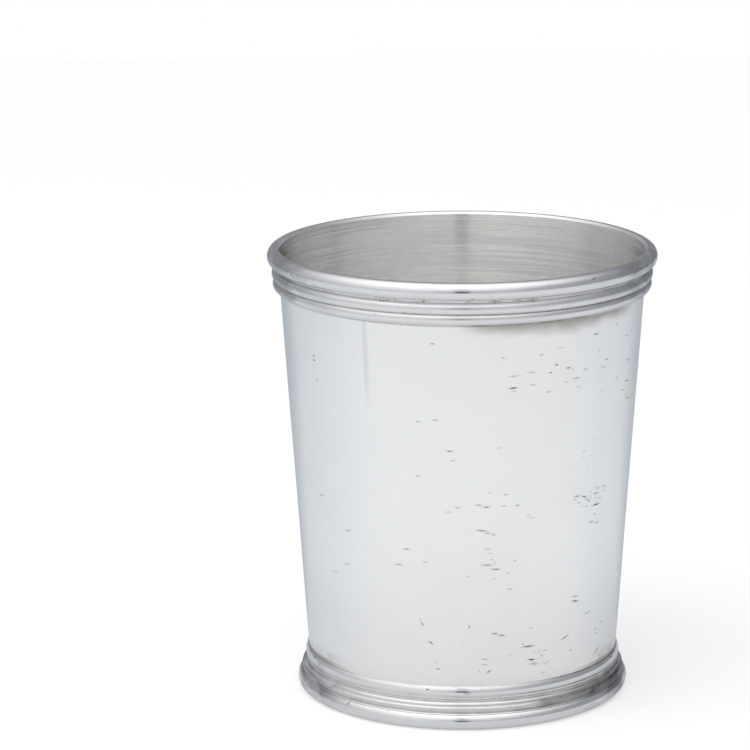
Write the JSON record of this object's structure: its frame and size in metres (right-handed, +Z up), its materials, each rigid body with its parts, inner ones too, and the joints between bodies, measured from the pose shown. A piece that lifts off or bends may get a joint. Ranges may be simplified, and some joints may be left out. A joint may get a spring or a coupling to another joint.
{
  "type": "julep cup",
  "caption": "Tapered silver drinking cup with a reeded rim moulding, a stepped foot moulding and a flat recessed bottom.",
  "frame": {"origin": "centre of the foot's standing face", "axes": "+Z up along the cup's axis, out of its mouth; the cup is round, so X and Y are free"},
  "size_m": [0.0818, 0.0818, 0.0952],
  "materials": {
    "turned_silver": "polished outside with fine scratches and small dents, satin and turned inside",
    "polished_silver": "polished, with light tarnish in the grooves",
    "silver_solder": "polished over, slightly duller than the silver"
  },
  "bodies": {
    "root": {"body_wall": "turned_silver", "bottom_disc": "turned_silver", "rim_moulding": "polished_silver", "foot_moulding": "polished_silver", "rim_solder": "silver_solder", "foot_solder": "silver_solder", "bottom_solder": "silver_solder"}
  },
  "joints": []
}
